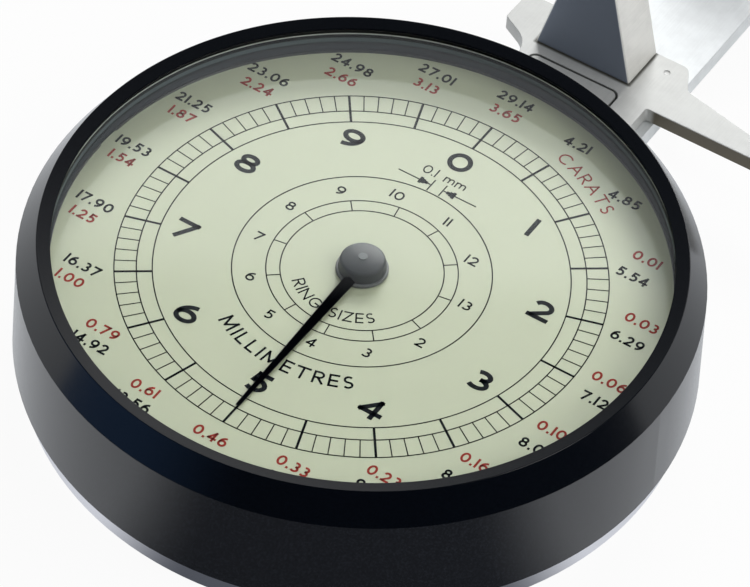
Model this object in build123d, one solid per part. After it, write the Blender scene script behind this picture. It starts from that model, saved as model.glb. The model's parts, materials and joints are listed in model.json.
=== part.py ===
from build123d import *
from math import acos, ceil, cos, floor, pi, radians, sin, sqrt, tan
import os

os.makedirs("parts", exist_ok=True)

# A pocket dial gauge for gemstones and rings, in millimetres.
# The origin is on the dial's axis at the face the gauge rests on. +Z leaves through the dial, and +Y points
# along the slide. The gauge stands fully open, at 25 mm; the slide moves 25 mm towards -Y to close.

# Fits between pieces
running_fit = 0.03          # between a shaft and its bush, on the radius
screw_fit = 0.02            # between a screw and its hole, on the radius
seat_fit = 0.05             # between a piece and the recess it sits in
slide_fit = 0.1             # between the slide and what guides it, each way
plate_fit = 0.3             # between the lower plate and the case, on the radius

# Case body, a ring that tapers a little up to the bezel, and the back cover under it
case_radius = 30.0
case_taper = 0.36
case_wall = 3.6
case_edge = 0.3
cover_step = 0.65
cover_height = 2.4
cover_floor = 1.2
cover_rim_width = 2.55
cover_edge = 0.35
cover_screw_inset = 1.65
cover_screw_angles = (40, 140, 220, 320)
cover_screw_length = 7.0
boss_radius = 2.8
boss_inset = 2.4
boss_length = 4.0
boss_angles = (35, 145, 215, 325)

# Dial, its split ring, the glass and the bezel
dial_top = 10.9
dial_thickness = 0.8
dial_hole_radius = 1.3
dial_seat = 0.6
split_ring_width = 0.12
split_ring_height = 0.3
split_ring_gap_start = 181.7
split_ring_gap_angle = 5.0
spigot_wall = 0.9
shoulder_above_dial = 1.28
glass_seat = 0.4
glass_thickness = 1.0
glass_headroom = 0.6
gasket_thickness = 0.1
lip_thickness = 0.5
lip_drop = 0.3              # how far the lip slopes down towards the glass
lip_overhang = 0.3
bezel_slope = 1.74
bezel_edge = 0.15

# Plates of the movement
lower_plate_thickness = 1.0
upper_plate_thickness = 1.0
upper_plate_gap = 0.6
wheel_headroom = 0.3
pillar_radius = 1.5
pillar_spigot_radius = 1.0
pillar_inset = 3.5          # from the upper plate's edge to the pillars' axes
pillar_gap = 0.37           # from the guides to the pillars

# Slide, its rack and its guides
travel = 25.0
slide_half_width = 8.5
slide_bar_left = -5.72      # the slide's left side outside the case, where the neck covers it
slide_step = 26.6
slide_thickness = 1.8
slide_lower_end = 0.5
slide_nose = 1.48
slide_corner = 2.5
fork_gap = 0.85
rack_depth = 2.6
rack_ledge_width = 2.2
rack_ledge_depth = 0.8
rack_lower_end = -0.9
rack_overrun = 1.0
rack_screw_count = 3
rack_screw_inset = 3.75
guide_width = 2.5
guide_lower_end = -12.0
guide_screw_inset = 2.5
stop_pin_radius = 0.6
stop_pin_height = 1.0
stop_gap = 0.02

# Fixed jaw plate, the tongue in its neck, and the anvils
contact_y = 43.3
closed_gap = 0.02
jaw_plate_thickness = 1.5
jaw_base_gap = 0.8          # from the base's corners to the case's bore
jaw_base_length = 8.1
neck_left = -5.8
neck_right = 7.6
head_left = -9.2
head_left_height = 3.9
head_left_slope = 1.85
head_right = 8.15
ring_edge_drop = 6.85
ring_jaw_reach = 26.0
ring_jaw_tip_width = 0.65
ring_jaw_root_width = 4.12
ring_jaw_root_x = 9.6
inner_corner = 0.3
head_corner = 0.9
neck_corner = 3.0
tongue_half_width = 4.55
tongue_gap = 0.2
tongue_land = 1.52
tongue_bar_width = 3.2
tongue_corner = 0.7
anvil_half_width = 5.0
anvil_middle = -0.23        # the anvils' middle line, left of the dial's axis
anvil_height = 11.0
anvil_lean = 0.255
anvil_depth = 5.2
anvil_edge = 0.15
anvil_screw_x = 2.4
dimple_radius = 0.3
dimple_depth = 0.05
dimple_x = 6.8
dimple_inset = 1.7

# Gears: a rack and two wheels of one module
tooth_pitch = 0.5
pressure_angle = radians(20)
pinion_teeth = 20
wheel_teeth = 100
tooth_thinning = 0.03
wheel_thickness = 0.6
wheel_lift = 0.2
wheel_rim_width = 1.0
wheel_hub_width = 1.2
wheel_spokes = 4
spoke_half_angle = 12
flank_points = 4

# Shafts, bushes, pointer and hairspring
pivot_radius = 0.4
arbor_radius = 0.75
arbor_end_radius = 0.42
arbor_end_rise = 0.05
take_up_radius = 0.7
bush_radius = 1.5
bush_flange_radius = 2.0
bush_flange_thickness = 0.3
pointer_clearance = 0.1
pointer_collar_radius = 2.3
pointer_collar_thickness = 0.3
collar_edge = 0.1
hub_radius = 2.1
hub_shoulder_radius = 2.0
hub_height = 1.3
hub_shoulder_height = 1.0
needle_length = 19.2
needle_root_width = 1.15
needle_tip_width = 0.34
needle_root_height = 0.45
needle_tip_height = 0.14
needle_start = 0.5
needle_lift = 0.05
needle_drop = 0.28          # from the needle's root down to its tip
collet_radius = 1.2
collet_lift = 0.2
collet_height = 0.9
spring_outer_radius = 5.0
spring_turns = 5
spring_strip = 0.12
spring_height = 0.6
spring_steps_per_turn = 24
stud_radius = 0.7
stud_rise = 0.2

# Screws: head radius, head height, shank radius
cover_screw = (1.3, 0.6, 0.7)
frame_screw = (1.3, 0.6, 0.6)
plate_screw = (1.2, 0.7, 0.55)
jaw_screw = (1.1, 0.5, 0.5)
rack_screw = (0.85, 0.35, 0.45)
anvil_screw = (1.3, 0.7, 0.7)
slot_width = 0.25
slot_depth = 0.2
thread_depth = 0.8
anvil_thread_depth = 3.5

# Radii of the case that follow from the values above
case_shoulder_radius = case_radius - case_taper
case_bore_radius = case_radius - case_wall
cover_radius = case_radius - cover_step
cover_pocket_radius = cover_radius - cover_rim_width
cover_screw_circle_radius = cover_radius - cover_screw_inset
boss_circle_radius = case_bore_radius - boss_inset
dial_recess_radius = case_bore_radius + dial_seat
spigot_radius = dial_recess_radius + spigot_wall
glass_radius = dial_recess_radius + glass_seat
bezel_lip_radius = dial_recess_radius - lip_overhang
bezel_top_radius = case_shoulder_radius - bezel_slope
lower_plate_radius = case_bore_radius - plate_fit
upper_plate_radius = boss_circle_radius - boss_radius - upper_plate_gap

# Gear sizes
gear_module = tooth_pitch / pi
addendum = 0.9 * gear_module
dedendum = 1.15 * gear_module
pitch_radius = gear_module * pinion_teeth / 2
pinion_tip_radius = pitch_radius + addendum
take_up_y = -gear_module * (pinion_teeth + wheel_teeth) / 2

# Heights above the rest face, from the bottom up
lower_plate_top = cover_height + slide_fit
lower_plate_bottom = lower_plate_top - lower_plate_thickness
slide_bottom = lower_plate_top + slide_fit
slide_top = slide_bottom + slide_thickness
ledge_top = slide_top - rack_ledge_depth
rack_bottom = slide_bottom + slide_fit
rack_top = slide_top - slide_fit
jaw_bottom = slide_top + slide_fit
jaw_top = jaw_bottom + jaw_plate_thickness
wheel_bottom = slide_top + stop_pin_height + wheel_lift
wheel_top = wheel_bottom + wheel_thickness
upper_plate_bottom = max(wheel_top, jaw_top) + wheel_headroom
upper_plate_top = upper_plate_bottom + upper_plate_thickness
collet_bottom = upper_plate_top + bush_flange_thickness + collet_lift
collet_top = collet_bottom + collet_height
dial_bottom = dial_top - dial_thickness
shoulder_height = dial_top + shoulder_above_dial
pointer_collar_bottom = dial_top + pointer_clearance
hub_bottom = pointer_collar_bottom + pointer_collar_thickness
hub_top = hub_bottom + hub_height
spigot_height = hub_top + glass_headroom
glass_top = spigot_height + glass_thickness
lip_bottom = glass_top + gasket_thickness
bezel_top = lip_bottom + lip_thickness

# Places along the slide and across it
guide_inner = slide_half_width + slide_fit
guide_x = guide_inner + guide_width / 2
jaw_base_half_width = guide_inner + guide_width
jaw_base_end = sqrt(case_bore_radius ** 2 - jaw_base_half_width ** 2) - jaw_base_gap
jaw_base_start = jaw_base_end - jaw_base_length
tongue_bar_end = jaw_base_start - tongue_gap
tongue_bar_start = tongue_bar_end - tongue_bar_width
fixed_anvil_front = contact_y - anvil_depth
moving_anvil_front = contact_y + travel + closed_gap
slide_upper_end = moving_anvil_front + anvil_depth + slide_nose
tongue_end = fixed_anvil_front - tongue_land
head_left_start = contact_y - head_left_height
head_left_root = head_left_start - head_left_slope
ring_edge_y = contact_y - ring_edge_drop
fork_left = -pitch_radius - rack_depth
fork_right = pinion_tip_radius + fork_gap
fork_end = travel + pinion_tip_radius + fork_gap / 2
rack_upper_end = travel + rack_overrun
stop_pin_place = ((fork_right + slide_half_width) / 2, tongue_bar_start - stop_pin_radius - stop_gap)
dimple_place = (dimple_x, contact_y - dimple_inset)
pillar_x = jaw_base_half_width + pillar_gap + pillar_radius
pillar_y = sqrt((upper_plate_radius - pillar_inset) ** 2 - pillar_x ** 2)
pillar_places = [(x, y) for x in (-pillar_x, pillar_x) for y in (-pillar_y, pillar_y)]


def cylinder(radius, bottom, top, x=0.0, y=0.0):
    return Pos(x, y, (bottom + top) / 2) * Cylinder(radius, top - bottom)


def tube(outer, inner, bottom, top):
    return cylinder(outer, bottom, top) - cylinder(inner, bottom - 1, top + 1)


def slab(left, right, front, back, bottom, top):
    middle = Pos((left + right) / 2, (front + back) / 2, (bottom + top) / 2)
    return middle * Box(right - left, back - front, top - bottom)


def plate(points, bottom, top):
    outline = make_face(Polyline(*points, close=True))
    return Pos(0, 0, bottom) * extrude(outline, top - bottom)


def turned(points):
    """A ring or disc turned about the dial's axis from its section of radius and height points."""
    section = make_face(Polyline(*[(radius, 0, height) for radius, height in points], close=True))
    return revolve(section, Axis.Z)


def round_corners(body, radius, *places):
    """Rounds the upright edges that stand at the given x, y places."""
    chosen = [edge for edge in body.edges().filter_by(Axis.Z)
              if any(abs(edge.center().X - x) + abs(edge.center().Y - y) < 0.02 for x, y in places)]
    return fillet(chosen, radius)


def polar(radius, angle):
    return radius * cos(radians(angle)), radius * sin(radians(angle))


def screw(kind, x, y, head_face, direction, length):
    """A slotted screw. Its head starts at head_face, and its shank runs along direction, +1 up or -1 down."""
    head_radius, head_height, shank_radius = kind
    turn = Pos(x, y, head_face) * (Rot(0, 0, 0) if direction > 0 else Rot(180, 0, 0))
    head = cylinder(head_radius, 0, head_height)
    shank = cylinder(shank_radius, 0, length)
    slot = slab(-head_radius, head_radius, -slot_width / 2, slot_width / 2, -1, slot_depth)
    return turn * (head + shank - slot)


def screw_hole(kind, x, y, head_face, direction, length):
    """The space that such a screw needs, with its fit all round."""
    head_radius, head_height, shank_radius = kind
    turn = Pos(x, y, head_face) * (Rot(0, 0, 0) if direction > 0 else Rot(180, 0, 0))
    head = cylinder(head_radius + screw_fit, -1, head_height)
    shank = cylinder(shank_radius + screw_fit, 0, length + screw_fit)
    return turn * (head + shank)


def gear_points(teeth, tooth_angle):
    """The outline of an involute gear with a tooth centred at tooth_angle, in degrees."""
    pitch = gear_module * teeth / 2
    base = pitch * cos(pressure_angle)
    tip = pitch + addendum
    root = pitch - dedendum
    half_tooth = (tooth_pitch / 2 - tooth_thinning) / 2 / pitch
    start = max(base, root) + 0.001

    def half_angle(radius):
        angle = acos(base / radius)
        return half_tooth + (tan(pressure_angle) - pressure_angle) - (tan(angle) - angle)

    radii = [start + (tip - start) * step / (flank_points - 1) for step in range(flank_points)]
    flank = [(radius, half_angle(radius)) for radius in radii]
    right = [(root, flank[0][1])] + flank
    points = []
    for tooth in range(teeth):
        centre = radians(tooth_angle) + 2 * pi * tooth / teeth
        side = [(radius, centre - half) for radius, half in right]
        side += [(radius, centre + half) for radius, half in reversed(right)]
        points += [(radius * cos(angle), radius * sin(angle)) for radius, angle in side]
    return points


def rack_points():
    """The toothed strip's outline: straight flanks on the side of the pinion, a plain back."""
    tip_x = -pitch_radius + addendum
    root_x = -pitch_radius - dedendum
    half_at_pitch = (tooth_pitch / 2 - tooth_thinning) / 2
    half_at_tip = half_at_pitch - addendum * tan(pressure_angle)
    half_at_root = half_at_pitch + dedendum * tan(pressure_angle)
    first = ceil((rack_lower_end + tooth_pitch / 2) / tooth_pitch)
    last = floor((rack_upper_end - tooth_pitch / 2) / tooth_pitch)
    points = [(fork_left + seat_fit, rack_lower_end), (root_x, rack_lower_end)]
    for tooth in range(first, last + 1):
        middle = tooth * tooth_pitch
        points += [(root_x, middle - half_at_root), (tip_x, middle - half_at_tip),
                   (tip_x, middle + half_at_tip), (root_x, middle + half_at_root)]
    return points + [(root_x, rack_upper_end), (fork_left + seat_fit, rack_upper_end)]


def anvil(front, bottom, top):
    """An upright block whose sides lean in towards its top, with lightly broken edges."""
    foot = anvil_half_width + anvil_lean * (jaw_top - bottom)
    head = anvil_half_width - anvil_lean * (top - jaw_top)
    face = make_face(Polyline((-foot, front, bottom), (foot, front, bottom), (head, front, top),
                              (-head, front, top), close=True))
    block = extrude(face, anvil_depth, dir=(0, 1, 0))
    return Pos(anvil_middle, 0, 0) * chamfer(block.edges(), anvil_edge)


# Screw places
boss_places = [polar(boss_circle_radius, angle) for angle in boss_angles]
cover_screw_places = [polar(cover_screw_circle_radius, angle) for angle in cover_screw_angles]
guide_screw_y = guide_lower_end + guide_screw_inset
guide_screw_places = [(-guide_x, guide_screw_y), (guide_x, guide_screw_y)]
jaw_screw_y = (jaw_base_start + jaw_base_end) / 2
jaw_screw_places = [(-guide_x, jaw_screw_y), (guide_x, jaw_screw_y)]
tongue_screw_y = (tongue_bar_start + tongue_bar_end) / 2
tongue_screw_places = [(-guide_x, tongue_screw_y), (guide_x, tongue_screw_y)]
rack_screw_x = fork_left - rack_ledge_width / 2
rack_screw_start = slide_lower_end + rack_screw_inset
rack_screw_step = (rack_upper_end - rack_screw_inset - rack_screw_start) / (rack_screw_count - 1)
rack_screw_places = [(rack_screw_x, rack_screw_start + count * rack_screw_step)
                     for count in range(rack_screw_count)]

# Screw lengths, from the head's outer face
frame_screw_length = lower_plate_thickness + 4 * thread_depth
plate_screw_length = plate_screw[1] + upper_plate_thickness + 2 * thread_depth
guide_screw_length = jaw_bottom - lower_plate_top + thread_depth
jaw_screw_length = jaw_top - lower_plate_top + thread_depth
rack_screw_length = rack_top - ledge_top + thread_depth
fixed_anvil_screw_length = jaw_plate_thickness + anvil_thread_depth
moving_anvil_screw_length = slide_thickness + anvil_thread_depth


def with_holes(body, kind, places, head_face, direction, length):
    for x, y in places:
        body -= screw_hole(kind, x, y, head_face, direction, length)
    return body


def screws(kind, places, head_face, direction, length):
    return [screw(kind, x, y, head_face, direction, length) for x, y in places]


def case_body():
    body = turned([(case_bore_radius, cover_height), (case_radius - case_edge, cover_height),
                   (case_radius, cover_height + case_edge), (case_shoulder_radius, shoulder_height),
                   (spigot_radius, shoulder_height), (spigot_radius, spigot_height),
                   (dial_recess_radius, spigot_height), (dial_recess_radius, dial_bottom),
                   (case_bore_radius, dial_bottom)])
    boss_top = lower_plate_top + boss_length
    within_wall = cylinder(case_bore_radius + case_wall / 2, 0, boss_top)
    for x, y in boss_places:
        body += cylinder(boss_radius, lower_plate_top, boss_top, x, y) & within_wall
    side = slide_half_width + 2 * slide_fit
    body -= slab(-side, side, case_bore_radius / 2, case_radius + 1, 0, jaw_bottom)
    body -= slab(neck_left - slide_fit, neck_right + slide_fit, case_bore_radius / 2, case_radius + 1,
                 slide_bottom, jaw_top + slide_fit)
    body = with_holes(body, frame_screw, boss_places, lower_plate_bottom, 1, frame_screw_length)
    return with_holes(body, cover_screw, cover_screw_places, 0, 1, cover_screw_length)


def back_cover():
    body = turned([(0, 0), (cover_radius - cover_edge, 0), (cover_radius, cover_edge),
                   (cover_radius, cover_height), (cover_pocket_radius, cover_height),
                   (cover_pocket_radius, cover_floor), (0, cover_floor)])
    return with_holes(body, cover_screw, cover_screw_places, 0, 1, cover_screw_length)


def bezel():
    return turned([(spigot_radius + seat_fit, shoulder_height), (case_shoulder_radius, shoulder_height),
                   (bezel_top_radius, bezel_top - bezel_edge), (bezel_top_radius - bezel_edge, bezel_top),
                   (bezel_lip_radius, bezel_top - lip_drop), (bezel_lip_radius, lip_bottom), (glass_radius + seat_fit, lip_bottom),
                   (glass_radius + seat_fit, spigot_height), (spigot_radius + seat_fit, spigot_height)])


def split_ring():
    outer = dial_recess_radius - seat_fit
    ring = tube(outer, outer - split_ring_width, dial_top, dial_top + split_ring_height)
    start, end = split_ring_gap_start - split_ring_gap_angle, split_ring_gap_start
    wedge = [(0, 0), polar(2 * outer, start), polar(2 * outer, end)]
    return ring - plate(wedge, dial_top - 1, dial_top + split_ring_height + 1)


def lower_plate():
    body = cylinder(lower_plate_radius, lower_plate_bottom, lower_plate_top)
    body = with_holes(body, frame_screw, boss_places, lower_plate_bottom, 1, frame_screw_length)
    for x, y in pillar_places:
        body -= cylinder(pillar_spigot_radius + screw_fit, 0, lower_plate_top + 1, x, y)
    for y in (0, take_up_y):
        body -= cylinder(bush_radius, 0, lower_plate_top + 1, 0, y)
    body = with_holes(body, jaw_screw, guide_screw_places, jaw_bottom, -1, guide_screw_length)
    return with_holes(body, jaw_screw, jaw_screw_places + tongue_screw_places, jaw_top, -1, jaw_screw_length)


def upper_plate():
    body = cylinder(upper_plate_radius, upper_plate_bottom, upper_plate_top)
    body = with_holes(body, plate_screw, pillar_places, upper_plate_top + plate_screw[1], -1,
                      plate_screw_length)
    for y in (0, take_up_y):
        body -= cylinder(bush_radius, upper_plate_bottom - 1, upper_plate_top + 1, 0, y)
    return body - cylinder(stud_radius, upper_plate_bottom - 1, upper_plate_top + 1, *stud_place())


def pillars():
    made = []
    for x, y in pillar_places:
        post = cylinder(pillar_radius, lower_plate_top, upper_plate_bottom, x, y)
        post += cylinder(pillar_spigot_radius, lower_plate_bottom, lower_plate_top, x, y)
        made.append(post - screw_hole(plate_screw, x, y, upper_plate_top + plate_screw[1], -1,
                                      plate_screw_length))
    return made


def bush(y, bottom, top, hole, flange_up):
    body = cylinder(bush_radius, bottom, top, 0, y)
    if flange_up:
        body += cylinder(bush_flange_radius, top, top + bush_flange_thickness, 0, y)
    else:
        body += cylinder(bush_flange_radius, bottom - bush_flange_thickness, bottom, 0, y)
    return body - cylinder(hole + running_fit, bottom - 1, top + 1, 0, y)


def bushes(y, upper_hole):
    return [bush(y, lower_plate_bottom, lower_plate_top, pivot_radius, False),
            bush(y, upper_plate_bottom, upper_plate_top, upper_hole, True)]


def guide(side):
    left, right = sorted((side * guide_inner, side * (guide_inner + guide_width)))
    body = slab(left, right, guide_lower_end, jaw_base_end, lower_plate_top, jaw_bottom)
    body = with_holes(body, jaw_screw, guide_screw_places, jaw_bottom, -1, guide_screw_length)
    return with_holes(body, jaw_screw, jaw_screw_places + tongue_screw_places, jaw_top, -1, jaw_screw_length)


def ring_jaw_slope(edge, side):
    """The ring jaw's corners from tip to root: side is +1 for the fixed jaw and -1 for the moving one."""
    return [(ring_jaw_reach, edge), (ring_jaw_reach, edge + side * ring_jaw_tip_width),
            (ring_jaw_root_x, edge + side * ring_jaw_root_width)]


def fixed_jaw_plate():
    root_y = ring_edge_y + ring_jaw_root_width
    points = [(-jaw_base_half_width, jaw_base_start), (jaw_base_half_width, jaw_base_start),
              (jaw_base_half_width, jaw_base_end), (neck_right, jaw_base_end), (neck_right, ring_edge_y)]
    points += ring_jaw_slope(ring_edge_y, 1)
    points += [(head_right, contact_y), (head_left, contact_y), (head_left, head_left_start),
               (neck_left, head_left_root), (neck_left, jaw_base_end), (-jaw_base_half_width, jaw_base_end)]
    body = plate(points, jaw_bottom, jaw_top)
    body = round_corners(body, inner_corner, (neck_right, ring_edge_y), (head_left, contact_y),
                         (head_left, head_left_start))
    body = round_corners(body, head_corner, (ring_jaw_root_x, root_y), (head_right, contact_y))
    body = round_corners(body, neck_corner, (neck_left, head_left_root))
    slot_half, slot_end = tongue_half_width + tongue_gap, tongue_end + tongue_gap
    slot = slab(-slot_half, slot_half, jaw_base_start - 1, slot_end, jaw_bottom - 1, jaw_top + 1)
    body -= round_corners(slot, tongue_corner + tongue_gap, (-slot_half, slot_end), (slot_half, slot_end))
    body -= cylinder(dimple_radius, jaw_top - dimple_depth, jaw_top + 1, *dimple_place)
    body = with_holes(body, jaw_screw, jaw_screw_places, jaw_top, -1, jaw_screw_length)
    return with_holes(body, anvil_screw, anvil_screw_places(fixed_anvil_front), jaw_bottom, 1,
                      fixed_anvil_screw_length)


def tongue():
    bar = slab(-jaw_base_half_width, jaw_base_half_width, tongue_bar_start, tongue_bar_end, jaw_bottom,
               jaw_top)
    strip = slab(-tongue_half_width, tongue_half_width, tongue_bar_start, tongue_end, jaw_bottom, jaw_top)
    strip = round_corners(strip, tongue_corner, (-tongue_half_width, tongue_end),
                          (tongue_half_width, tongue_end))
    return with_holes(bar + strip, jaw_screw, tongue_screw_places, jaw_top, -1, jaw_screw_length)


def anvil_screw_places(front):
    y = front + anvil_depth / 2
    return [(anvil_middle - anvil_screw_x, y), (anvil_middle + anvil_screw_x, y)]


def slide():
    edge = ring_edge_y + travel
    points = [(-slide_half_width, slide_lower_end), (fork_left, slide_lower_end), (fork_left, fork_end),
              (fork_right, fork_end), (fork_right, slide_lower_end),
              (slide_half_width, slide_lower_end), (slide_half_width, edge - ring_jaw_root_width)]
    points += list(reversed(ring_jaw_slope(edge, -1)))
    points += [(slide_half_width, edge), (slide_half_width, slide_upper_end),
               (slide_bar_left, slide_upper_end), (slide_bar_left, slide_step), (-slide_half_width, slide_step)]
    body = plate(points, slide_bottom, slide_top)
    body = round_corners(body, slide_corner, (slide_half_width, slide_upper_end),
                         (slide_bar_left, slide_upper_end))
    body = round_corners(body, inner_corner, (slide_half_width, edge), (slide_bar_left, slide_step))
    body -= slab(fork_left - rack_ledge_width, fork_left + 1, slide_lower_end - 1, rack_upper_end, ledge_top,
                 slide_top + 1)
    body -= cylinder(stop_pin_radius, slide_bottom - 1, slide_top + 1, *stop_pin_place)
    body = with_holes(body, rack_screw, rack_screw_places, rack_top, -1, rack_screw_length)
    return with_holes(body, anvil_screw, anvil_screw_places(moving_anvil_front), slide_bottom, 1,
                      moving_anvil_screw_length)


def rack():
    body = plate(rack_points(), rack_bottom, rack_top)
    body += slab(fork_left - rack_ledge_width + seat_fit, fork_left + 1, slide_lower_end + inner_corner,
                 rack_upper_end - inner_corner, ledge_top, rack_top)
    return with_holes(body, rack_screw, rack_screw_places, rack_top, -1, rack_screw_length)


def fixed_anvil():
    block = anvil(fixed_anvil_front, jaw_top, jaw_top + anvil_height)
    return with_holes(block, anvil_screw, anvil_screw_places(fixed_anvil_front), jaw_bottom, 1,
                      fixed_anvil_screw_length)


def moving_anvil():
    block = anvil(moving_anvil_front, slide_top, jaw_top + anvil_height)
    return with_holes(block, anvil_screw, anvil_screw_places(moving_anvil_front), slide_bottom, 1,
                      moving_anvil_screw_length)


def centre_arbor():
    """The pinion with its shaft up through the dial. A tooth space faces the rack, at 180 degrees."""
    pinion_bottom, pinion_top = rack_bottom - slide_fit, wheel_top + slide_fit
    half_pitch = 180 / pinion_teeth
    body = plate(gear_points(pinion_teeth, half_pitch), pinion_bottom, pinion_top)
    body += cylinder(pivot_radius, lower_plate_bottom, pinion_bottom)
    body += cylinder(arbor_radius, pinion_top, pointer_collar_bottom)
    return body + cylinder(arbor_end_radius, pointer_collar_bottom, hub_top + arbor_end_rise)


def pointer_collar():
    ring = cylinder(pointer_collar_radius, pointer_collar_bottom, hub_bottom)
    ring -= cylinder(arbor_end_radius + screw_fit, 0, hub_top + 1)
    top_edges = ring.edges().filter_by(GeomType.CIRCLE).group_by(Axis.Z)[-1]
    return chamfer(top_edges.sort_by(SortBy.RADIUS)[-1], collar_edge)


def pointer():
    """A domed hub and a needle with a roof-shaped section that slopes down to its tip, pointing at 5."""
    shoulder = hub_bottom + hub_shoulder_height
    rise = hub_top - shoulder
    dome = (hub_shoulder_radius ** 2 + rise ** 2) / 2 / rise
    hub = turned([(0, hub_bottom), (hub_radius, hub_bottom), (hub_shoulder_radius, shoulder),
                  (hub_shoulder_radius, hub_top), (0, hub_top)])
    hub &= Pos(0, 0, hub_top - dome) * Sphere(dome)
    root_bottom = hub_bottom + needle_lift
    ends = [(-needle_start, root_bottom, needle_root_width, needle_root_height),
            (-needle_length, root_bottom - needle_drop, needle_tip_width, needle_tip_height)]
    sections = [make_face(Polyline((-width / 2, y, bottom), (width / 2, y, bottom), (0, y, bottom + height),
                                   close=True)) for y, bottom, width, height in ends]
    return hub + loft(sections) - cylinder(arbor_end_radius + screw_fit, 0, hub_top + 1)


def take_up_wheel():
    body = Pos(0, take_up_y, 0) * plate(gear_points(wheel_teeth, 90), wheel_bottom, wheel_top)
    rim = gear_module * wheel_teeth / 2 - dedendum - wheel_rim_width
    ring = tube(rim, take_up_radius + wheel_hub_width, wheel_bottom - 1, wheel_top + 1)
    step = 360 / wheel_spokes
    for spoke in range(wheel_spokes):
        start, end = spoke * step + spoke_half_angle, (spoke + 1) * step - spoke_half_angle
        far = 2 * rim
        sector = [(0, 0), polar(far, start), polar(far, (start + end) / 2), polar(far, end)]
        body -= Pos(0, take_up_y, 0) * (ring & plate(sector, wheel_bottom - 1, wheel_top + 1))
    return body - cylinder(take_up_radius, wheel_bottom - 1, wheel_top + 1, 0, take_up_y)


def take_up_arbor():
    shoulder_bottom, shoulder_top = slide_bottom, upper_plate_bottom - slide_fit
    body = cylinder(pivot_radius, lower_plate_bottom, shoulder_bottom, 0, take_up_y)
    body += cylinder(take_up_radius, shoulder_bottom, shoulder_top, 0, take_up_y)
    return body + cylinder(pivot_radius, shoulder_top, collet_top + stud_rise, 0, take_up_y)


def hairspring_collet():
    body = cylinder(collet_radius, collet_bottom, collet_top, 0, take_up_y)
    return body - cylinder(pivot_radius, collet_bottom - 1, collet_top + 1, 0, take_up_y)


def spiral_point(turn, offset):
    """A point of the hairspring's flat spiral after so many turns, offset from its middle line."""
    inner = collet_radius + seat_fit + spring_strip / 2
    radius = inner + (spring_outer_radius - inner) * turn / spring_turns + offset
    x, y = polar(radius, 360 * turn)
    return x, y + take_up_y


def hairspring():
    steps = spring_steps_per_turn * spring_turns
    turns = [step * spring_turns / steps for step in range(steps + 1)]
    outer = [spiral_point(turn, spring_strip / 2) for turn in turns]
    inner = [spiral_point(turn, -spring_strip / 2) for turn in reversed(turns)]
    bottom = collet_bottom + (collet_height - spring_height) / 2
    return plate(outer + inner, bottom, bottom + spring_height)


def stud_place():
    return spiral_point(spring_turns, spring_strip / 2 + stud_radius + seat_fit)


def hairspring_stud():
    x, y = stud_place()
    return cylinder(stud_radius, upper_plate_bottom, collet_top + stud_rise, x, y)


nodes = {
    "case_body": case_body(),
    "back_cover": back_cover(),
    "back_cover_screws": screws(cover_screw, cover_screw_places, 0, 1, cover_screw_length),
    "bezel": bezel(),
    "crystal": cylinder(glass_radius, spigot_height, glass_top),
    "crystal_gasket": tube(glass_radius, bezel_lip_radius + seat_fit, glass_top, lip_bottom),
    "dial_plate": tube(dial_recess_radius - seat_fit, dial_hole_radius, dial_bottom, dial_top),
    "dial_retaining_ring": split_ring(),
    "lower_plate": lower_plate(),
    "lower_plate_screws": screws(frame_screw, boss_places, lower_plate_bottom, 1, frame_screw_length),
    "upper_plate": upper_plate(),
    "plate_pillars": pillars(),
    "upper_plate_screws": screws(plate_screw, pillar_places, upper_plate_top + plate_screw[1], -1,
                                 plate_screw_length),
    "centre_bushes": bushes(0, arbor_radius),
    "take_up_bushes": bushes(take_up_y, pivot_radius),
    "left_guide": guide(-1),
    "right_guide": guide(1),
    "guide_screws": screws(jaw_screw, guide_screw_places, jaw_bottom, -1, guide_screw_length),
    "fixed_jaw_plate": fixed_jaw_plate(),
    "jaw_plate_screws": screws(jaw_screw, jaw_screw_places, jaw_top, -1, jaw_screw_length),
    "neck_tongue": tongue(),
    "tongue_screws": screws(jaw_screw, tongue_screw_places, jaw_top, -1, jaw_screw_length),
    "fixed_anvil": fixed_anvil(),
    "fixed_anvil_screws": screws(anvil_screw, anvil_screw_places(fixed_anvil_front), jaw_bottom, 1,
                                 fixed_anvil_screw_length),
    "hairspring": hairspring(),
    "hairspring_stud": hairspring_stud(),
    "slide": slide(),
    "rack": rack(),
    "rack_screws": screws(rack_screw, rack_screw_places, rack_top, -1, rack_screw_length),
    "moving_anvil": moving_anvil(),
    "moving_anvil_screws": screws(anvil_screw, anvil_screw_places(moving_anvil_front), slide_bottom, 1,
                                  moving_anvil_screw_length),
    "slide_stop_pin": cylinder(stop_pin_radius, slide_bottom, slide_top + stop_pin_height, *stop_pin_place),
    "centre_arbor": centre_arbor(),
    "pointer_collar": pointer_collar(),
    "pointer": pointer(),
    "take_up_wheel": take_up_wheel(),
    "take_up_arbor": take_up_arbor(),
    "hairspring_collet": hairspring_collet(),
}

for name, made in nodes.items():
    shape = Compound(children=made) if isinstance(made, list) else made
    export_step(shape, f"parts/{name}.step")
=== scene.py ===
import bmesh
import bpy
import json
import math
import numpy as np
from mathutils import Matrix, Vector


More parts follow.
